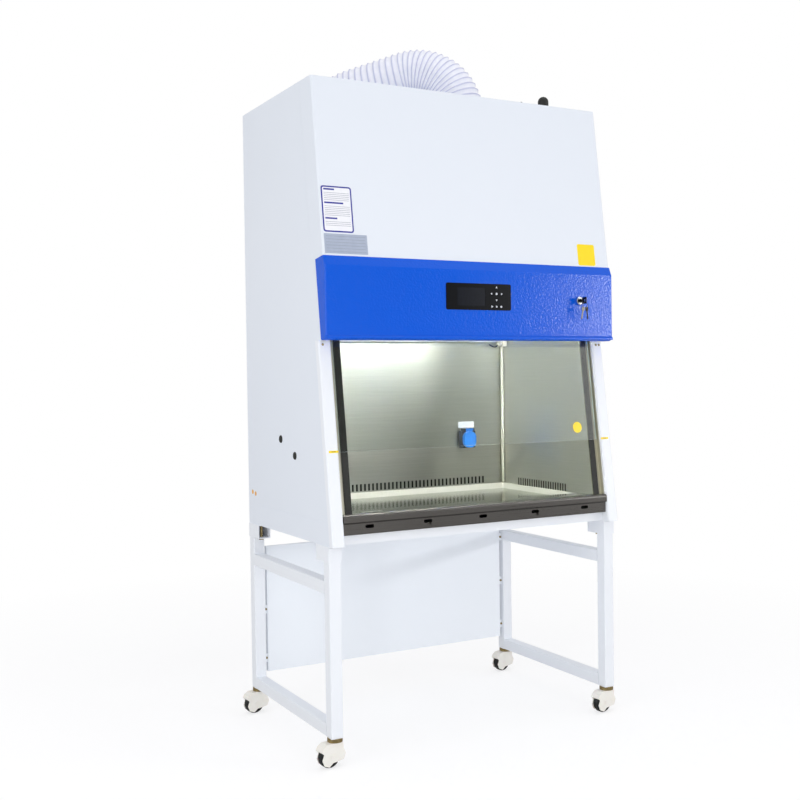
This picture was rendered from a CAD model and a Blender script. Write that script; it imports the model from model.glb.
"""Ducted biosafety cabinet on its wheeled stand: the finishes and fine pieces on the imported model.

The sections follow the cabinet as it is put together: studio, steel shell and stand, casters, fascia
with display and key switch, work chamber, lamps, sash and its drive, filters and blower, exhaust
duct, cards and marks.
"""

from math import cos, pi, radians, sin

import bmesh
import bpy
import numpy as np
from mathutils import Matrix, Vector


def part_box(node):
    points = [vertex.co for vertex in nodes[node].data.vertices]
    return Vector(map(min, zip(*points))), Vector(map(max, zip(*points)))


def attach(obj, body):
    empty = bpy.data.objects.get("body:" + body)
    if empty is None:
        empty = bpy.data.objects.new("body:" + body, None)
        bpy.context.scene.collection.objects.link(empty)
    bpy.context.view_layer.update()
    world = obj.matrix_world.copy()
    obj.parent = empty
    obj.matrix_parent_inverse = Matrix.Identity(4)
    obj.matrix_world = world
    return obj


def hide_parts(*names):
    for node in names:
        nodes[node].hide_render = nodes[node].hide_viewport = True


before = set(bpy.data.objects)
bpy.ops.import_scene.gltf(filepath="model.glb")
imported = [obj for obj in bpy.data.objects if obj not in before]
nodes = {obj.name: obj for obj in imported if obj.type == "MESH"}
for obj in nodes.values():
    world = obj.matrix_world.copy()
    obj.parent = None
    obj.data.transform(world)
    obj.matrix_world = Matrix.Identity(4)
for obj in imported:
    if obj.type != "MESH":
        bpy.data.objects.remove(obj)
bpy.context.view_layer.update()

# ---------------------------------------------------------------- studio
# A white sweep of floor, soft boxes at the left, in front and above, and a far one at the right. The
# camera stands at head height to the left of the cabinet's front, with a slightly long lens.
back_low, back_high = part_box("rear_cover")
centre_x, back_y = (back_low.x + back_high.x) / 2, back_high.y


def placed(points):
    """Points in millimetres from the cabinet's centre line, back face and floor, in metres."""
    return np.array([centre_x, back_y, 0]) + np.asarray(points) / 1000


def place(x, y, z):
    """One point, given in millimetres in the same way, in metres."""
    return placed((x, y, z))


def linear(code):
    """Linear colour of an sRGB hex code: c / 12.92 up to 0.04045, else ((c + 0.055) / 1.055) ** 2.4."""
    s = np.array([int(code[i : i + 2], 16) / 255 for i in (1, 3, 5)])
    return (*np.where(s <= 0.04045, s / 12.92, ((s + 0.055) / 1.055) ** 2.4), 1.0)


def material(name):
    """A new node material, with its tree and its Principled shader."""
    made = bpy.data.materials.new(name)
    made.use_nodes = True
    return made, made.node_tree, made.node_tree.nodes["Principled BSDF"]


def add(tree, kind, values=(), feeds=()):
    """Adds a shader node: values set its attributes or sockets, feeds link (socket, node, output)."""
    made = tree.nodes.new("ShaderNode" + kind)
    for key, value in dict(values).items():
        if isinstance(key, int) or key in made.inputs:
            made.inputs[key].default_value = value
        else:
            setattr(made, key, value)
    for socket, source, output in feeds:
        tree.links.new(source.outputs[output], made.inputs[socket])
    return made


def seen_directly(tree):
    """A factor that is 1 for camera and transmission rays, which pass through glass unbent."""
    ray = add(tree, "LightPath")
    rays = [(0, ray, "Is Camera Ray"), (1, ray, "Is Transmission Ray")]
    return add(tree, "Math", {"operation": "MAXIMUM"}, rays)


def finish_with(made, *pieces):
    """Gives a material to CAD nodes, by name, or to new pieces."""
    for piece in pieces:
        mesh = (nodes[piece] if isinstance(piece, str) else piece).data
        mesh.materials.clear()
        mesh.materials.append(made)


half_floor = 60
corners = [(-half_floor, -half_floor, 0), (half_floor, -half_floor, 0)]
corners += [(half_floor, half_floor, 0), (-half_floor, half_floor, 0)]
floor_mesh = bpy.data.meshes.new("studio_floor")
floor_mesh.from_pydata(corners, [], [(0, 1, 2, 3)])
floor = bpy.data.objects.new("studio_floor", floor_mesh)
bpy.context.scene.collection.objects.link(floor)
# The sweep keeps a faint shadow under the stand and runs to plain white from 1.2 m to 3 m away.
sweep, tree, shader = material("white_paper_sweep")
shader.inputs["Base Color"].default_value = linear("#F0F0F0")
shader.inputs["Roughness"].default_value = 0.9
direct = seen_directly(tree)
pale = add(tree, "BsdfDiffuse", {"Color": (0.34, 0.34, 0.35, 1)})
lift = add(tree, "Emission", {"Color": (1, 1, 1, 1), "Strength": 0.69})
near = add(tree, "AddShader", (), [(0, pale, 0), (1, lift, 0)])
far = add(tree, "Emission", {"Color": (1, 1, 1, 1), "Strength": 1.0})
spot = add(tree, "VectorMath", {"operation": "LENGTH"}, [(0, add(tree, "TexCoord"), "Object")])
fade = add(tree, "MapRange", {"From Min": 1.2, "From Max": 3.0}, [(0, spot, "Value")])
shown = add(tree, "MixShader", (), [(0, fade, 0), (1, near, 0), (2, far, 0)])
mirrored = add(tree, "Emission", {"Color": (1, 0.99, 0.97, 1), "Strength": 0.33})
glossy = add(tree, "LightPath")
bounced = add(tree, "MixShader", (), [(0, glossy, "Is Glossy Ray"), (1, shader, 0), (2, mirrored, 0)])
both = add(tree, "MixShader", (), [(0, direct, 0), (1, bounced, 0), (2, shown, 0)])
tree.links.new(both.outputs[0], tree.nodes["Material Output"].inputs["Surface"])
finish_with(sweep, floor)

world = bpy.data.worlds.new("studio")
bpy.context.scene.world = world
world.use_nodes = True
tree = world.node_tree
sky = tree.nodes["Background"]
# Reflections see dim grey walls with one dark gap between two curtains, ahead and to the right: the
# brushed steel shows the gap as a dark streak. Diffuse light stays even, and the camera sees white.
ray = add(tree, "LightPath")
gap_aim = {"operation": "DOT_PRODUCT", 1: (0.877, 0.48, 0)}
aim = add(tree, "VectorMath", gap_aim, [(0, add(tree, "TexCoord"), "Generated")])
aside = add(tree, "Math", {"operation": "ABSOLUTE"}, [(0, aim, "Value")])
wall_range = {"From Min": -0.1, "From Max": 0.1, "To Min": 0.5, "To Max": 0.85}
wall = add(tree, "MapRange", wall_range, [(0, aim, "Value")])
gap_range = {"From Min": 0.03, "From Max": 0.12, "To Min": 0.05, "To Max": 1.0}
gap = add(tree, "MapRange", gap_range, [(0, aside, 0)])
walls = add(tree, "Math", {"operation": "MULTIPLY"}, [(0, wall, 0), (1, gap, 0)])
diffuse = {"Color2": (0.68, 0.68, 0.68, 1)}
even = add(tree, "MixRGB", diffuse, [("Fac", ray, "Is Diffuse Ray"), ("Color1", walls, 0)])
white = {"Color2": (1, 1, 1, 1)}
level = add(tree, "MixRGB", white, [("Fac", ray, "Is Camera Ray"), ("Color1", even, 0)])
tree.links.new(level.outputs[0], sky.inputs["Strength"])
sky.inputs["Color"].default_value = (1, 1, 1, 1)

# Each soft box: name, where it stands, what it points at, width and height in m, and watts.
soft_boxes = (
    ("left_box", (-4.2, -1.6, 2.0), (0, 0.0, 1.1), 2.6, 2.6, 50),
    ("front_box", (-0.3, -3.4, 0.9), (0, 0.0, 0.9), 1.6, 1.6, 16),
    ("top_box", (0.3, -0.6, 4.6), (0, 0.0, 1.0), 2.4, 2.4, 20),
    ("right_box", (7.6, -6.85, 1.87), (0.5, -0.4, 1.45), 2.0, 0.72, 165),
)
for name, at, target, width, height, watts in soft_boxes:
    lamp = bpy.data.lights.new(name, "AREA")
    lamp.shape, lamp.size, lamp.size_y, lamp.energy = "RECTANGLE", width, height, watts
    box = bpy.data.objects.new(name, lamp)
    bpy.context.scene.collection.objects.link(box)
    away = np.array(at) - np.array(target)
    away /= np.linalg.norm(away)
    across = np.cross((0, 0, 1), away)
    across /= np.linalg.norm(across)
    turn = np.column_stack([across, np.cross(away, across), away])
    box.matrix_world = Matrix.Translation(at) @ Matrix(turn.tolist()).to_4x4()

camera_at = place(-1923.32, -3644.27, 1195.07)
yaw, pitch, roll = -0.5005, -0.0228, 0.0138
focal_px, picture_px, sensor_mm = 1081.56, 800, 36
about_z = np.array([[cos(yaw), -sin(yaw), 0], [sin(yaw), cos(yaw), 0], [0, 0, 1]])
about_x = np.array([[1, 0, 0], [0, cos(pitch), -sin(pitch)], [0, sin(pitch), cos(pitch)]])
about_y = np.array([[cos(roll), 0, sin(roll)], [0, 1, 0], [-sin(roll), 0, cos(roll)]])
right, forward, up = (about_z @ about_x @ about_y).T
camera = bpy.data.objects.new("camera", bpy.data.cameras.new("camera"))
camera.data.sensor_width = sensor_mm
camera.data.lens = focal_px / picture_px * sensor_mm
camera.data.clip_end = 200
bpy.context.scene.collection.objects.link(camera)
turn = np.column_stack([right, up, -forward])
camera.matrix_world = Matrix.Translation(camera_at) @ Matrix(turn.tolist()).to_4x4()
bpy.context.scene.camera = camera
bpy.context.scene.view_settings.view_transform = "Standard"
bpy.context.scene.cycles.blur_glossy = 0.2

# ---------------------------------------------------------------- steel shell and stand
# Folded steel sheet and welded square tube, powder coated white: a cured powder skin shows a fine
# orange peel, drawn here at 4 mm where the real one is nearer 2 mm, and a soft satin gloss.


def texture(made, kind, values):
    """A texture laid out in the piece's own coordinates: its node and the name of its output."""
    tree = made.node_tree
    node = add(tree, kind, values, [("Vector", add(tree, "TexCoord"), "Object")])
    return node, "Distance" if kind == "TexVoronoi" else "Fac"


def tinted(name, code, shade_code, kind, values, rough, metallic=0.0):
    """A material of two close tints, blended by a texture."""
    made, tree, shader = material(name)
    tints = {"Color1": linear(code), "Color2": linear(shade_code)}
    tint = add(tree, "MixRGB", tints, [("Fac", *texture(made, kind, values))])
    tree.links.new(tint.outputs[0], shader.inputs["Base Color"])
    shader.inputs["Roughness"].default_value = rough
    shader.inputs["Metallic"].default_value = metallic
    return made


def embossed(made, kind, values, strength, depth):
    """Raises the finish by a texture, depth in metres."""
    tree = made.node_tree
    relief = {"Strength": strength, "Distance": depth}
    bump = add(tree, "Bump", relief, [("Height", *texture(made, kind, values))])
    tree.links.new(bump.outputs[0], tree.nodes["Principled BSDF"].inputs["Normal"])


def worn(made, kind, values, seen, rough):
    """Lets the roughness wander between two values as a texture goes over the range seen."""
    tree = made.node_tree
    span = {"From Min": seen[0], "From Max": seen[1], "To Min": rough[0], "To Max": rough[1]}
    wear = add(tree, "MapRange", span, [(0, *texture(made, kind, values))])
    tree.links.new(wear.outputs[0], tree.nodes["Principled BSDF"].inputs["Roughness"])


def enamel(name, code, shade_code, peel, depth, rough, gloss=0.5):
    """Powder-coated steel: two close tints, a peel with its pitch and depth in mm, uneven gloss."""
    cloud = {"Scale": 1.6, "Detail": 3, "Roughness": 0.5}
    made = tinted(name, code, shade_code, "TexNoise", cloud, rough)
    skin = {"Scale": 1000 / peel, "Detail": 2, "Roughness": 0.45}
    embossed(made, "TexNoise", skin, 0.35, depth / 1000)
    worn(made, "TexNoise", cloud, (0.3, 0.7), (rough - 0.05, rough + 0.07))
    made.node_tree.nodes["Principled BSDF"].inputs["Specular IOR Level"].default_value = gloss
    return made


frame_enamel = enamel("white_powder_coat", "#EEF1F7", "#E9EDF4", 4.0, 0.2, 0.42)
finish_with(frame_enamel, "stand_left_frame", "stand_right_frame", "saddle_brackets")
finish_with(frame_enamel, "base_pan", "front_columns")
shell_enamel = enamel("shell_powder_coat", "#E6EBF4", "#E1E7F1", 4.0, 0.2, 0.42)
finish_with(shell_enamel, "left_side_panel", "right_side_panel", "rear_cover")
finish_with(shell_enamel, "top_cover", "upper_front_cover")
panel_enamel = enamel("pale_blue_powder_coat", "#F4F8FE", "#EFF4FB", 4.0, 0.2, 0.4)
finish_with(panel_enamel, "stand_back_panel")
bloom = {"Scale": 90, "Detail": 2}
screw_steel = tinted("zinc_plated_steel", "#BBAA78", "#8A7350", "TexNoise", bloom, 0.38, 0.9)
finish_with(screw_steel, "stand_screws", "caster_collars")


def solid(name, points, faces, made, body, smooth=True):
    """A new closed piece, its poles welded and its faces turned outward, riding on a CAD body."""
    mesh = bpy.data.meshes.new(name)
    points = np.asarray(points).reshape(-1, 3).tolist()
    mesh.from_pydata(points, [], [tuple(face) for face in faces])
    work = bmesh.new()
    work.from_mesh(mesh)
    bmesh.ops.remove_doubles(work, verts=work.verts, dist=1e-6)
    bmesh.ops.recalc_face_normals(work, faces=work.faces)
    work.to_mesh(mesh)
    work.free()
    mesh.shade_smooth() if smooth else mesh.shade_flat()
    piece = bpy.data.objects.new(name, mesh)
    bpy.context.scene.collection.objects.link(piece)
    finish_with(made, piece)
    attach(piece, body)
    return piece


def skin_faces(rows, columns, close_rows=False):
    """Quads over rings of points: rows of them, one ring to a row, joined end to end if closed."""
    r, c = np.meshgrid(np.arange(rows if close_rows else rows - 1), np.arange(columns), indexing="ij")
    down, on = (r + 1) % rows, (c + 1) % columns
    corners = [r * columns + c, r * columns + on, down * columns + on, down * columns + c]
    return np.stack([k.ravel() for k in corners], axis=1)


# Dome-headed screws that hold the rear cover on: a turned zinc-plated head, 12 mm across, each
# standing 2.4 mm proud of the sheet, in rows down the cover's edges and over its middle joint.


def screw_heads(spots, radius, rise, outward, flat_way):
    """Domes at the given points: r = radius * sin(a), height = rise * cos(a), a from 0 to 90 degrees.

    A last ring of no width closes each dome underneath.
    """
    a = np.linspace(0, pi / 2, 5)
    b = np.linspace(0, 2 * pi, 14, endpoint=False)[:, None]
    r = np.append(radius * np.sin(a), 0)[:, None, None]
    h = np.append(rise * np.cos(a), 0)[:, None, None]
    out, one = np.array(outward, float), np.array(flat_way, float)
    dome = r * (np.cos(b) * one + np.sin(b) * np.cross(out, one)) + h * out
    faces = skin_faces(len(r), len(b))
    faces = [faces + len(r) * len(b) * k for k in range(len(spots))]
    return np.asarray(spots)[:, None, None] + dome, np.concatenate(faces)


edge = [(x, 0, z) for x in (-535, 535) for z in np.linspace(700, 2098, 9)]
middle = [(x, 0, z) for x in np.linspace(-400, 400, 5) for z in (700, 1360, 2098)]
points, faces = screw_heads(placed(edge + middle), 0.006, 0.0024, (0, 1, 0), (1, 0, 0))
solid("rear_cover_screws", points, faces, screw_steel, "cabinet")

# ---------------------------------------------------------------- casters
# Twin-cheeked hoods moulded in cream nylon over a black polyurethane wheel. The hoods are smooth and
# slightly waxy; the tread is dull with a fine moulding texture.
haze = {"Scale": 30, "Detail": 3}
hood_nylon = tinted("cream_nylon", "#F7F3EE", "#ECE6DE", "TexNoise", haze, 0.38)
embossed(hood_nylon, "TexNoise", {"Scale": 700, "Detail": 1}, 0.15, 0.0002)
hood_nylon.node_tree.nodes["Principled BSDF"].inputs["Subsurface Weight"].default_value = 0.05
dust = {"Scale": 60, "Detail": 4}
tread = tinted("black_polyurethane", "#0B0D0F", "#202225", "TexNoise", dust, 0.45)
worn(tread, "TexNoise", dust, (0.35, 0.65), (0.3, 0.55))
for corner in ("front_left", "front_right", "back_left", "back_right"):
    finish_with(hood_nylon, f"caster_{corner}_fork")
    finish_with(tread, f"caster_{corner}_wheel")

# ---------------------------------------------------------------- fascia, display and key switch
# A folded steel beam in glossy blue powder coat, with a coarser orange peel that breaks highlights
# into speckle. The display is a black acrylic plate with a liquid-crystal window and eight keys.
blue_enamel = enamel("blue_powder_coat", "#0059DA", "#0054D1", 6.5, 1.9, 0.16, 0.38)
finish_with(blue_enamel, "fascia")

acrylic = tinted("black_acrylic", "#08090C", "#0F1116", "TexNoise", {"Scale": 14, "Detail": 2}, 0.16)
acrylic.node_tree.nodes["Principled BSDF"].inputs["Specular IOR Level"].default_value = 0.3
finish_with(acrylic, "display_panel", "switch_key")


def plate(name, outline, thick, surface, made, body, base=0.0):
    """A thin flat piece: a closed outline of (across, up) in mm, from base to base + thick in mm."""
    low, high = [np.array([surface(a, b, t) for a, b in outline]) for t in (base, base + thick)]
    n = len(outline)
    sides = [(k, (k + 1) % n, n + (k + 1) % n, n + k) for k in range(n)]
    faces = [tuple(range(n, 2 * n)), tuple(range(n))[::-1], *sides]
    return solid(name, np.concatenate([low, high]), faces, made, body, smooth=False)


def facing_front(y):
    """A flat surface at depth y that faces the front: it takes mm across, up and proud of it."""
    return lambda across, up, proud: place(across, y - proud, up)


def facing_side(x, way, middle_y=0):
    """The same for one at x that faces left or right, way -1 or 1, with across counted back."""
    return lambda across, up, proud: place(x + way * proud, middle_y + across, up)


def rounded(width, height, radius, middle=(0, 0), steps=6):
    """Corners of a rounded rectangle, anticlockwise: four quarter arcs of the given radius."""
    a = np.linspace(0, pi / 2, steps)
    out = []
    for k, way in enumerate(((1, 1), (-1, 1), (-1, -1), (1, -1))):
        centre = np.array(way) * (width / 2 - radius, height / 2 - radius) + middle
        quarter = a + k * pi / 2
        out += (centre + radius * np.column_stack([np.cos(quarter), np.sin(quarter)])).tolist()
    return out


def polar(radius, steps):
    """A closed outline in mm whose radius is a formula of the angle."""
    return [(radius(t) * cos(t), radius(t) * sin(t)) for t in np.linspace(0, 2 * pi, steps, endpoint=False)]


def moved(outline, x, z, angle=0.0):
    """An outline turned by an angle and set about a middle point."""
    c, s = cos(angle), sin(angle)
    return [(x + a * c - b * s, z + a * s + b * c) for a, b in outline]


# A rolled bead stiffens the fascia's lower edge: 4.6 mm out, 11 mm high, given as (out, height).
fascia_y = (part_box("fascia")[0].y - back_y) * 1000
bead_length = 1099
bead = [(0, 1308.5), (0, 1319.5), (2.6, 1318), (4, 1316), (4.6, 1313.5), (4.6, 1310.5), (3.8, 1308.8)]


def along_fascia(out, up, x):
    """A point of the bead, in mm out from the fascia, up, and along from its left end."""
    return place(x - bead_length / 2, fascia_y - out, up)


plate("fascia_bead", bead, bead_length, along_fascia, blue_enamel, "cabinet")

# The window lies in a shallow recess of the display plate; each key carries its own raised print.
window_y, key_y = -676.9, -677.92
lines = {"bands_direction": "Z", "Scale": 60, "Distortion": 0}
screen = tinted("liquid_crystal_glass", "#10131A", "#191C25", "TexWave", lines, 0.08)
window = rounded(106, 59, 2, (-32, 1446.5))
plate("display_window", window, 0.45, facing_front(window_y), screen, "cabinet")

print_ink, tree, shader = material("pale_screen_print")
shader.inputs["Base Color"].default_value = linear("#C9CDD6")
shader.inputs["Roughness"].default_value = 0.5
embossed(print_ink, "TexNoise", {"Scale": 900}, 0.1, 0.0001)
arrow = [(0, 4), (-3.6, -2.6), (3.6, -2.6)]
ring = polar(lambda t: 3.6, 16)
petals = polar(lambda t: 1.4 + 2.6 * abs(cos(1.5 * t)), 36)
burst = polar(lambda t: 3.3 - 0.9 * cos(8 * t), 16)
# Each key's mark: its outline, its middle and the quarter turns that point the arrow its way.
key_marks = {
    "up": (arrow, 66, 1479, 0),
    "left": (arrow, 46, 1458, 1),
    "enter": (rounded(7, 7, 1.5), 66, 1458, 0),
    "right": (arrow, 86, 1458, -1),
    "down": (arrow, 66, 1437, 2),
    "fan": (petals, 48, 1416, 0),
    "lamp": (burst, 66, 1416, 0),
    "power": (ring, 84, 1416, 0),
}
for key, (shape, x, z, quarters) in key_marks.items():
    finish_with(acrylic, f"key_{key}")
    shape = moved(shape, x, z, quarters * pi / 2)
    plate(f"print_{key}", shape, 0.12, facing_front(key_y), print_ink, f"key_{key}")

chrome, tree, shader = material("chromed_brass")
shader.inputs["Base Color"].default_value = linear("#D9DBDE")
shader.inputs["Metallic"].default_value = 1.0
worn(chrome, "TexNoise", {"Scale": 120, "Detail": 2}, (0, 1), (0.06, 0.2))
finish_with(chrome, "key_switch", "sash_drive_shaft", "belt_idlers")


def ring_band(middle, radius, section, around=72, flat=True):
    """A closed band: (out, along) in mm turned about an upright axis, or about one front to back."""
    t = np.linspace(0, 2 * pi, around, endpoint=False)[:, None]
    out, along = np.array(section).T[:, None]
    one, two, three = (radius + out) * np.cos(t), (radius + out) * np.sin(t), along + 0 * t
    axes = (one, two, three) if flat else (one, -three, two)
    points = placed(np.array(middle) + np.stack(axes, axis=-1))
    return points, skin_faces(around, len(section), close_rows=True)


# A split ring of 1.6 mm wire through the key's bow carries a nickel spare and a black-bowed one.
scratch = {"Scale": 300, "Detail": 3}
nickel = tinted("worn_nickel", "#8F8E8A", "#77756F", "TexNoise", scratch, 0.45, 1.0)
points, faces = ring_band((405, -711, 1425), 10, polar(lambda t: 0.8, 10), 40, flat=False)
solid("key_ring", points, faces, nickel, "lock_key")
shank = [(-6, -5), (-2.4, -8), (-2.4, -34), (0, -37), (2.4, -32), (2.4, -8), (6, -5)]
blank = [*shank, (6, 4), (3, 7), (-3, 7), (-6, 4)]
hung = facing_front(-709.5)
plate("nickel_spare_key", moved(blank, 397, 1413, -0.2), 1.6, hung, nickel, "lock_key")
plate("black_spare_key", moved(blank, 412, 1413, 0.12), 1.6, hung, acrylic, "lock_key")

# ---------------------------------------------------------------- work chamber
# Brushed 304 stainless, bent and welded: the grain runs along the sheet, so reflections smear across
# it. The grain is drawn at 1.5 mm, where the real one is about 0.2 mm, so that it shows at all.


def stainless(name, code, shade_code, grain_scale, rough, smear=0.0):
    """Brushed sheet: noise stretched along the grain tints it, roughens it and scores it.

    smear sets how far reflections are drawn out, straight up and down, across a level grain.
    """
    made, tree, shader = material(name)
    spot = add(tree, "TexCoord")
    along = add(tree, "Mapping", {"Scale": grain_scale}, [("Vector", spot, "Object")])
    strands = {"Scale": 1.0, "Detail": 4, "Roughness": 0.65}
    grain = add(tree, "TexNoise", strands, [("Vector", along, 0)])
    patch = add(tree, "TexNoise", {"Scale": 2.2, "Detail": 2}, [("Vector", spot, "Object")])
    tints = {"Color1": linear(code), "Color2": linear(shade_code)}
    tint = add(tree, "MixRGB", tints, [("Fac", grain, "Fac")])
    tree.links.new(tint.outputs[0], shader.inputs["Base Color"])
    mixed = add(tree, "Math", {"operation": "MULTIPLY"}, [(0, grain, "Fac"), (1, patch, "Fac")])
    span = {"From Min": 0.1, "From Max": 0.45, "To Min": rough - 0.06, "To Max": rough + 0.1}
    wear = add(tree, "MapRange", span, [(0, mixed, 0)])
    tree.links.new(wear.outputs[0], shader.inputs["Roughness"])
    bump = add(tree, "Bump", {"Strength": 0.25, "Distance": 0.00012}, [("Height", grain, "Fac")])
    tree.links.new(bump.outputs[0], shader.inputs["Normal"])
    shader.inputs["Metallic"].default_value = 1.0
    if smear:
        shader.inputs["Anisotropic"].default_value = smear
        tree.links.new(add(tree, "CombineXYZ", {"Z": 1.0}).outputs[0], shader.inputs["Tangent"])
    return made


upright_grain = (5, 5, 650)
wall_steel = stainless("brushed_stainless_walls", "#C8C9C2", "#ABADA5", upright_grain, 0.36, 0.8)
# The back sheet is a little twisted, 1 degree from top to bottom: height = 0.0275 x (z - 1.1) in m.
twist_rate, twist_mid = 0.0275, 1.1
tree = wall_steel.node_tree
where = add(tree, "SeparateXYZ", (), [(0, add(tree, "TexCoord"), "Object")])
level = add(tree, "Math", {"operation": "SUBTRACT", 1: twist_mid}, [(0, where, "Z")])
twist = add(tree, "Math", {"operation": "MULTIPLY"}, [(0, where, "X"), (1, level, 0)])
warp = add(tree, "Bump", {"Strength": 1.0, "Distance": twist_rate}, [("Height", twist, 0)])
score = next(node for node in tree.nodes if node.type == "BUMP")
tree.links.new(warp.outputs[0], score.inputs["Normal"])
finish_with(wall_steel, "chamber_back_wall")
side_steel = stainless("bright_stainless_sides", "#F0F0EA", "#DEDFD8", upright_grain, 0.36, 0.8)
finish_with(side_steel, "chamber_side_walls")

# The tray's floor is polished; its upright rim is bead blasted, so it catches the lamp.
tray_steel = stainless("polished_stainless_tray", "#CDD1C8", "#B4B9AE", (5, 650, 650), 0.16)
tree = tray_steel.node_tree
shader = tree.nodes["Principled BSDF"]
facing = add(tree, "SeparateXYZ", (), [(0, add(tree, "TexCoord"), "Normal")])
steep = add(tree, "Math", {"operation": "ABSOLUTE"}, [(0, facing, "Z")])
upright = add(tree, "Math", {"operation": "LESS_THAN", 1: 0.5}, [(0, steep, 0)])
shine = add(tree, "MapRange", {"To Min": 1.0, "To Max": 0.1}, [(0, upright, 0)])
tree.links.new(shine.outputs[0], shader.inputs["Metallic"])
polished = shader.inputs["Base Color"].links[0].from_node
blasted = {"Color2": linear("#FAF9F0")}
tint = add(tree, "MixRGB", blasted, [("Fac", upright, 0), ("Color1", polished, 0)])
tree.links.new(tint.outputs[0], shader.inputs["Base Color"])
finish_with(tray_steel, "work_tray")

ceiling_steel = stainless("brushed_stainless_ceiling", "#D8DCD6", "#C4C9C2", (5, 650, 5), 0.4)
finish_with(ceiling_steel, "chamber_ceiling")
armrest_steel = stainless("dark_brushed_stainless", "#7E7C79", "#625F5D", (4, 500, 500), 0.3)
finish_with(armrest_steel, "armrest", "armrest_screws")
rail_steel = stainless("rail_stainless", "#D8D6C6", "#C2C0B0", (500, 5, 5), 0.34)
finish_with(rail_steel, "sash_rails", "sash_top_bar")

haze = {"Scale": 40, "Detail": 2}
socket_blue = tinted("blue_moulded_nylon", "#1B84E8", "#1573D2", "TexNoise", haze, 0.3)
finish_with(socket_blue, "socket_lid")
haze = {"Scale": 50, "Detail": 3}
dark_nylon = tinted("dark_moulded_nylon", "#1A2434", "#232F42", "TexNoise", haze, 0.45)
finish_with(dark_nylon, "socket_base", "blower_motor", "sash_drive_motor")

# ---------------------------------------------------------------- lamps
# Fluorescent tubes between moulded cream holders: a frosted glass tube that glows evenly, so the
# holders start where the tube's length ends. The germicidal tube on the back wall is off.


def tube_lamp(name, half_length, glow):
    """Holder plastic past the tube's ends, frosted glass between them, told apart by |x|."""
    made, tree, shader = material(name)
    spot = add(tree, "SeparateXYZ", (), [(0, add(tree, "TexCoord"), "Object")])
    off = add(tree, "Math", {"operation": "SUBTRACT", 1: float(centre_x)}, [(0, spot, "X")])
    wide = add(tree, "Math", {"operation": "ABSOLUTE"}, [(0, off, 0)])
    end = add(tree, "Math", {"operation": "GREATER_THAN", 1: half_length}, [(0, wide, 0)])
    tints = {"Color1": linear("#F4F7FA"), "Color2": linear("#E4DFD2")}
    tint = add(tree, "MixRGB", tints, [("Fac", end, 0)])
    tree.links.new(tint.outputs[0], shader.inputs["Base Color"])
    lit = add(tree, "MapRange", {"To Min": glow, "To Max": 0.0}, [(0, end, 0)])
    tree.links.new(lit.outputs[0], shader.inputs["Emission Strength"])
    shader.inputs["Emission Color"].default_value = linear("#FDFFF8")
    shader.inputs["Roughness"].default_value = 0.35
    return made


finish_with(tube_lamp("fluorescent_lamp", 0.4302, 105.0), "work_lamp")
finish_with(tube_lamp("germicidal_lamp", 0.4472, 0.0), "uv_lamp")


def tube(name, path, radius, made, body, around=14):
    """A closed round tube of the given radius along a path of points in mm, capped at both ends.

    Each ring is square to the chord between its neighbours; the frame is carried on without twist.
    """
    path = np.array(path, float)
    ways = np.gradient(path, axis=0)
    ways /= np.linalg.norm(ways, axis=1)[:, None]
    side = np.cross(ways[0], (0.3, 0.9, 0.1))
    t = np.linspace(0, 2 * pi, around, endpoint=False)[:, None]
    rings = []
    for at, way in zip(path, ways):
        side = side - way * side.dot(way)
        side /= np.linalg.norm(side)
        rings.append(at + radius * (np.cos(t) * side + np.sin(t) * np.cross(way, side)))
    caps = [np.tile(path[end], (around, 1)) for end in (0, -1)]
    rings = [caps[0], *rings, caps[1]]
    return solid(name, placed(rings), skin_faces(len(rings), around), made, body)


# The germicidal tube's cable drops behind a round conduit in the back right corner of the chamber.
haze = {"Scale": 30, "Detail": 2}
conduit_white = tinted("ivory_pvc_conduit", "#F3F1E6", "#E6E3D5", "TexNoise", haze, 0.35)
elbow = [(462 - 14 * (1 - cos(a)), -118, 1296 + 14 * sin(a)) for a in np.linspace(0, pi / 2, 8)]
conduit = [(462, -118, 771), (462, -118, 1000), *elbow, (440, -118, 1310)]
tube("corner_conduit", conduit, 6, conduit_white, "cabinet")
sags = [sin(pi * k / 8) for k in range(9)]
cable = [(444 - 5 * k, -118 - 9 * sag, 1310 - 10 * sag) for k, sag in enumerate(sags)]
tube("lamp_cable", cable, 2.6, dark_nylon, "cabinet")

# ---------------------------------------------------------------- sash and its drive
# Tempered float glass in black rubber lips, hung on toothed belts over a cross shaft. Light passes
# straight through the sheet, and its cut edges look green.
lean = radians(7.6)
glass, tree, shader = material("tempered_glass")
clear = add(tree, "BsdfTransparent", {"Color": (0.975, 0.99, 0.982, 1)})
gloss = add(tree, "BsdfGlossy", {"Color": (1, 1, 1, 1), "Roughness": 0.02})
rim = add(tree, "Fresnel", {"IOR": 1.5})
soft = add(tree, "Math", {"operation": "MULTIPLY", 1: 0.8}, [(0, rim, 0)])
pane = add(tree, "MixShader", (), [(0, soft, 0), (1, clear, 0), (2, gloss, 0)])
# Faces that turn away from the sheet's own direction are the ground edges.
sheet_aim = {"operation": "DOT_PRODUCT", 1: (0, -cos(lean), sin(lean))}
aim = add(tree, "VectorMath", sheet_aim, [(0, add(tree, "TexCoord"), "Normal")])
turned_from = add(tree, "Math", {"operation": "ABSOLUTE"}, [(0, aim, "Value")])
edge = add(tree, "Math", {"operation": "LESS_THAN", 1: 0.5}, [(0, turned_from, 0)])
ground = add(tree, "BsdfDiffuse", {"Color": linear("#E6F2EC")})
sheet = add(tree, "MixShader", (), [(0, edge, 0), (1, pane, 0), (2, ground, 0)])
tree.links.new(sheet.outputs[0], tree.nodes["Material Output"].inputs["Surface"])
finish_with(glass, "sash_glass")

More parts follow.
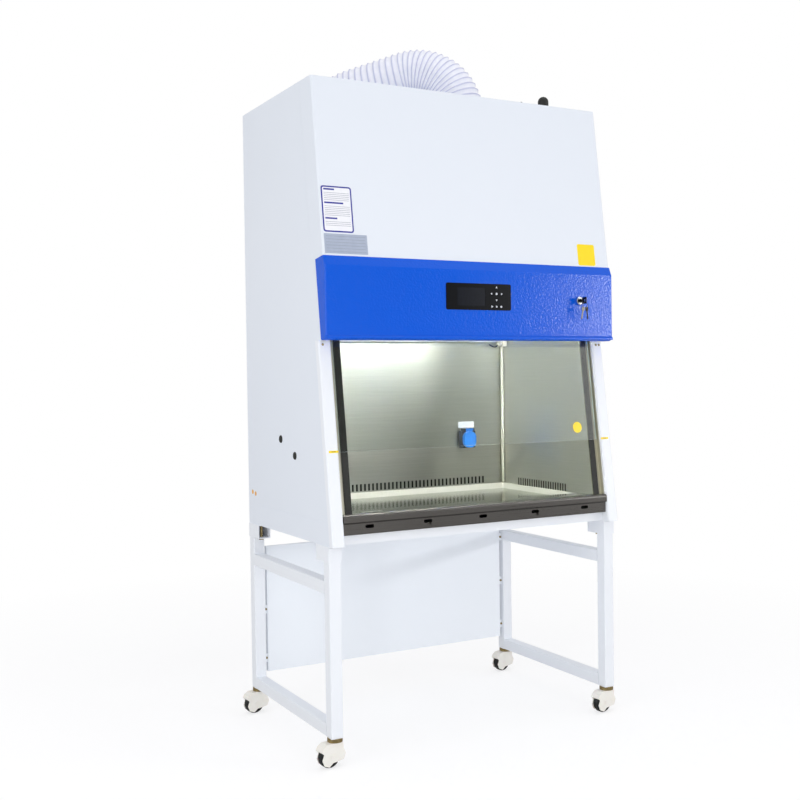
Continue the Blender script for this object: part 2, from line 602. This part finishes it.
bloom = {"Scale": 25, "Detail": 4}
rubber = tinted("black_rubber", "#171816", "#2A2B27", "TexNoise", bloom, 0.6)
finish_with(rubber, "sash_seals", "sash_belts", "service_plugs")

# ---------------------------------------------------------------- filters and blower
# Galvanised sheet with a faint spangle round pleated glass-fibre paper: the pleats run front to back
# every 6 mm and are held in anodised frames.
spangle = {"Scale": 90}
zinc_sheet = tinted("galvanised_sheet", "#C3C8CC", "#9FA5AA", "TexVoronoi", spangle, 0.42, 0.85)
finish_with(zinc_sheet, "plenum_deck", "blower_housing", "blower_impeller", "exhaust_collar")
pleats = {"bands_direction": "X", "Scale": 26.5, "Distortion": 0}
media = tinted("pleated_filter_paper", "#F3F2EA", "#C9C8BE", "TexWave", pleats, 0.9)
embossed(media, "TexWave", pleats, 0.8, 0.003)
finish_with(media, "supply_filter", "exhaust_filter")

# Black foam baffles, 3 mm thick, stand 4 mm behind the exhaust slots of the chamber's walls.
cells = {"Scale": 400}
foam = tinted("black_foam", "#0C0D0D", "#1A1B1B", "TexVoronoi", cells, 0.95)
embossed(foam, "TexVoronoi", cells, 0.6, 0.001)
wall_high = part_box("chamber_back_wall")[1]
wall_back, wall_side = (wall_high.y - back_y) * 1000, (wall_high.x - centre_x) * 1000
foam_gap, foam_thick, side_slots_y = 4, 3, -358
foam_back = foam_gap + foam_thick
strip = rounded(800, 40, 3, (0, 786))
behind_wall = facing_front(wall_back + foam_back)
plate("back_baffle", strip, foam_thick, behind_wall, foam, "cabinet")
strip = rounded(330, 40, 3, (0, 782))
for name, way in (("left", -1), ("right", 1)):
    beside_wall = facing_side(way * (wall_side + foam_back), -way, side_slots_y)
    plate(f"{name}_baffle", strip, foam_thick, beside_wall, foam, "cabinet")

# ---------------------------------------------------------------- exhaust duct
# A flexible hose of thin white PVC film over a spring-steel helix, 200 mm across: the film sags
# between the turns and shows them as lilac lines. A steel band clamps its cuff on the roof collar.
duct_foot = (204.0, -225.0, 2124.3)
heading, fall = radians(139.6), radians(14.13)
duct_r, film_wall, reach = 100.0, 1.6, 564.0
rise, bends, drop = 20.0, (158.0, 230.0), 145.0
straight = (reach - bends[0] * (1 + sin(fall)) - bends[1] * (1 - sin(fall))) / cos(fall)
turns_of = (0.0, pi / 2 + fall, 0.0, pi / 2 - fall, 0.0)
spans = np.array([rise, bends[0] * turns_of[1], straight, bends[1] * turns_of[3], drop])
helix_pitch, sag, cuff, cuff_fade = 24.0, 6.5, 22.0, 12.0


def duct_skin(around=56, per_turn=10):
    """The hose's wall, out along its outside and back along its inside, as rows of rings.

    Its middle line turns by 1 / R per mm in each bend. The helix has one turn in every 24 mm of the
    hose's outer side, so phase = outer length / 24 - angle / 360 degrees, and the film's radius is
    100 mm less 6.5 mm times |sin(180 degrees * phase)| ** 0.6, but plain on the collar.
    """
    ends = np.concatenate([[0], np.cumsum(spans)])
    s = np.linspace(0, ends[-1], 4000)
    bend = np.interp(s, ends, np.concatenate([[0], np.cumsum(turns_of)]))
    step = np.diff(s, prepend=0)
    u, z = np.cumsum(np.sin(bend) * step), np.cumsum(np.cos(bend) * step)
    outer = s + duct_r * bend
    turns = np.linspace(0, outer[-1] / helix_pitch, int(outer[-1] / helix_pitch * per_turn))
    at = np.interp(turns * helix_pitch, outer, s)
    u, z, bend = np.interp(at, s, u), np.interp(at, s, z), np.interp(at, s, bend)
    angle = np.linspace(0, 2 * pi, around, endpoint=False)
    phase = turns[:, None] - angle[None] / (2 * pi)
    free = np.clip((at[:, None] - cuff) / cuff_fade, 0, 1)
    radius = duct_r - free * sag * np.abs(np.sin(pi * phase)) ** 0.6
    wire = free * np.abs(np.cos(pi * phase)) ** 14

    def rings(r):
        """Ring points: radial is away from the bend's centre, level is sideways, both square to it."""
        level, radial = r * np.sin(angle), r * np.cos(angle)
        along = u[:, None] - radial * np.cos(bend)[:, None]
        x = duct_foot[0] + along * cos(heading) - level * sin(heading)
        y = duct_foot[1] + along * sin(heading) + level * cos(heading)
        up = duct_foot[2] + z[:, None] + radial * np.sin(bend)[:, None]
        return placed(np.stack([x, y, up], axis=-1))

    walls = np.concatenate([rings(radius), rings(radius - film_wall)[::-1]])
    return walls, np.concatenate([wire, wire[::-1]])


hose, tree, shader = material("white_pvc_film")
line = add(tree, "Attribute", {"attribute_name": "wire"})
spot = add(tree, "TexCoord")
crease = add(tree, "TexNoise", {"Scale": 60, "Detail": 3}, [("Vector", spot, "Object")])
tints = {"Color1": linear("#F4F5FC"), "Color2": linear("#E4E7F6")}
cloth = add(tree, "MixRGB", tints, [("Fac", crease, "Fac")])
faint = add(tree, "MapRange", {"From Max": 1.6}, [(0, line, "Fac")])
lilac = {"Color2": linear("#8B90C6")}
tint = add(tree, "MixRGB", lilac, [("Fac", faint, 0), ("Color1", cloth, 0)])
tree.links.new(tint.outputs[0], shader.inputs["Base Color"])
bump = add(tree, "Bump", {"Strength": 0.4, "Distance": 0.002}, [("Height", crease, "Fac")])
tree.links.new(bump.outputs[0], shader.inputs["Normal"])
shader.inputs["Roughness"].default_value = 0.42
walls, wire = duct_skin()
faces = skin_faces(*wire.shape, close_rows=True)
duct_hose = solid("duct_hose", walls, faces, hose, "cabinet")
mark = duct_hose.data.attributes.new("wire", "FLOAT", "POINT")
mark.data.foreach_set("value", wire.ravel().astype(np.float32))
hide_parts("exhaust_duct")

# The band is a strap with eased edges; its screw has a round head at one end and a nut at the other.
clamp_steel = stainless("polished_stainless_strap", "#D9DCE0", "#C2C6CC", (40, 40, 900), 0.22)
strap = ((0.1, 4), (1.2, 4), (1.6, 4.6), (1.6, 15.4), (1.2, 16), (0.1, 16))
points, faces = ring_band(duct_foot, duct_r, strap)
solid("duct_clamp_band", points, faces, clamp_steel, "cabinet")
screw_at = np.array(duct_foot) + (-duct_r - 6.5, 0, 10)
head = [(-15, 0), (-15, 4.4), (-14, 5.2), (-6, 5.2)]
thread = [(-5.6, 4.2), (9, 4.2)]
nut = [(9.4, 5.0), (15, 5.0), (15.6, 4.4), (15.6, 0)]
along, radius = np.array(head + thread + nut).T[:, :, None]
a = np.linspace(0, 2 * pi, 20, endpoint=False)
barrel = np.stack([radius * np.cos(a), along + 0 * a, radius * np.sin(a)], axis=-1)
faces = skin_faces(*barrel.shape[:2])
solid("duct_clamp_screw", placed(screw_at + barrel), faces, clamp_steel, "cabinet")

# ---------------------------------------------------------------- cards, plates and marks
# Vinyl and foil stickers on the shell, all bare: a framed card and a foil plate at the left of the
# cover, a yellow square at its right, a working-height mark on each column, two spots on the side.


def leaning(node, foot):
    """The front of a node that leans back by 7.6 degrees above a height: takes mm across, up, proud."""
    front = (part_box(node)[0].y - back_y) * 1000

    def surface(x, z, rise):
        y = front + (z - foot) * np.tan(lean)
        return place(x, y - rise * cos(lean), z + rise * sin(lean))

    return surface


on_cover = leaning("upper_front_cover", 1562)
on_sash = leaning("sash_glass", 961.3 + 6 * sin(lean))
on_column = leaning("front_columns", 677)


def film(name, code, shade_code, rough, metallic=0.0):
    """Printed vinyl or foil: two close tints in soft clouds 20 mm across, with a faint pebble."""
    cloud = {"Scale": 50, "Detail": 2}
    made = tinted(name, code, shade_code, "TexNoise", cloud, rough, metallic)
    embossed(made, "TexNoise", {"Scale": 900, "Detail": 1}, 0.12, 0.0001)
    return made


def sticker(name, outline, thick, surface, made, base=0.0, body="cabinet"):
    """A flat printed piece on a surface."""
    plate(name, outline, thick, surface, made, body, base)


def ruled_rows(name, left, widths, levels, height, made, base):
    """Thin printed bars on the cover, each from the left to its width: boxes joined in one piece."""
    ends = [(left, z, left + width, z + height) for width, z in zip(widths, levels)]
    corners = [
        [on_cover(x, z, t) for t in (base, base + 0.08) for x, z in ((a, m), (b, m), (b, n), (a, n))]
        for a, m, b, n in ends
    ]
    box = [(3, 2, 1, 0), (4, 5, 6, 7), (0, 1, 5, 4), (1, 2, 6, 5), (2, 3, 7, 6), (3, 0, 4, 7)]
    faces = np.concatenate([np.array(box) + 8 * k for k in range(len(corners))])
    solid(name, corners, faces, made, "cabinet", smooth=False)


# The card: a violet border, three violet bars at its head lines and grey rules under each of them,
# where bars and rules are measured down from the first line.
violet_film = film("violet_vinyl", "#3638A0", "#2E2F92", 0.35)
white_film = film("white_vinyl", "#F4F5FA", "#ECEDF5", 0.35)
grey_film = film("pale_grey_print", "#AFB2BE", "#A5A9B6", 0.5)
card_mid, card_w, card_h, border, margin = (-491.5, 1705.5), 103, 143, 4.5, 9
frame_thick, face_thick = 0.25, 0.12
sticker("card_frame", rounded(card_w, card_h, 8, card_mid), frame_thick, on_cover, violet_film)
card_face = rounded(card_w - 2 * border, card_h - 2 * border, 5, card_mid)
sticker("card_face", card_face, face_thick, on_cover, white_film, frame_thick)
card_left, first_line = card_mid[0] - card_w / 2 + margin, card_mid[1] + card_h / 2 - 13
print_base = frame_thick + face_thick
bars = ((0, 36), (42, 64), (90, 40))
levels = [first_line - down for down, width in bars]
ruled_rows("card_bars", card_left, [width for down, width in bars], levels, 5, violet_film, print_base)
rules = [down for first, count in ((9, 5), (51, 6), (99, 3)) for down in first + 5.6 * np.arange(count)]
levels = [first_line - down for down in rules]
widths = [card_w - 2 * margin] * len(rules)
ruled_rows("card_rules", card_left, widths, levels, 1.4, grey_film, print_base)

foil = film("grey_foil", "#BAC3D6", "#A9B3C9", 0.4, 0.25)
foil_print = film("dark_grey_print", "#8F9BAC", "#8793A5", 0.5)
foil_mid, foil_w, foil_h, margin, foil_thick = (-470, 1598.5), 146, 61, 6, 0.3
foil_outline = rounded(foil_w, foil_h, 2, foil_mid)
plate("foil_plate", foil_outline, foil_thick, on_cover, foil, "cabinet")
foil_left, foil_low = foil_mid[0] - foil_w / 2 + margin, foil_mid[1] - foil_h / 2 + margin
levels = foil_low + 9.4 * np.arange(6)
widths = [foil_w - 2 * margin] * len(levels)
ruled_rows("foil_rules", foil_left, widths, levels, 0.9, foil_print, foil_thick)

yellow_film = film("yellow_vinyl", "#FFE100", "#F7D600", 0.35)
sticker("yellow_square", rounded(74, 74, 6, (454, 1603)), 0.3, on_cover, yellow_film)
black_film = film("black_vinyl", "#1B1A20", "#25242C", 0.4)
mark_z, mark_thick = 965, 0.25
for name, mark_x in (("left", -525), ("right", 523.5)):
    tab, line = rounded(32, 7, 1, (mark_x, mark_z)), rounded(16, 1.6, 0.4, (mark_x, mark_z))
    sticker(f"height_mark_{name}", tab, mark_thick, on_column, yellow_film)
    sticker(f"height_line_{name}", line, 0.1, on_column, black_film, mark_thick)
amber_film = film("amber_vinyl", "#F2B24A", "#E8A53C", 0.4)
on_side = facing_side((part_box("left_side_panel")[0].x - centre_x) * 1000, -1)
for n, (y, z) in enumerate(((-38, 790), (-66, 786))):
    sticker(f"side_spot_{n + 1}", moved(polar(lambda t: 8, 24), y, z), 0.25, on_side, amber_film)

wall_front = facing_front((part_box("chamber_back_wall")[0].y - back_y) * 1000)
sticker("socket_card", rounded(70, 23, 1.5, (298, 1002)), 0.4, wall_front, white_film)
disc = moved(polar(lambda t: 19, 40), 418, 1006)
sticker("sash_disc", disc, 0.3, on_sash, yellow_film, body="sash")

# Three small dome-headed screws hold the fascia's lower lip to the columns.
lip_screws = [on_column(x, 1293, 0.0) for x in (-536, 524, 537)]
across_column, out_of_column = (1, 0, 0), (0, -cos(lean), sin(lean))
points, faces = screw_heads(lip_screws, 0.0042, 0.002, out_of_column, across_column)
solid("fascia_screws", points, faces, screw_steel, "cabinet")
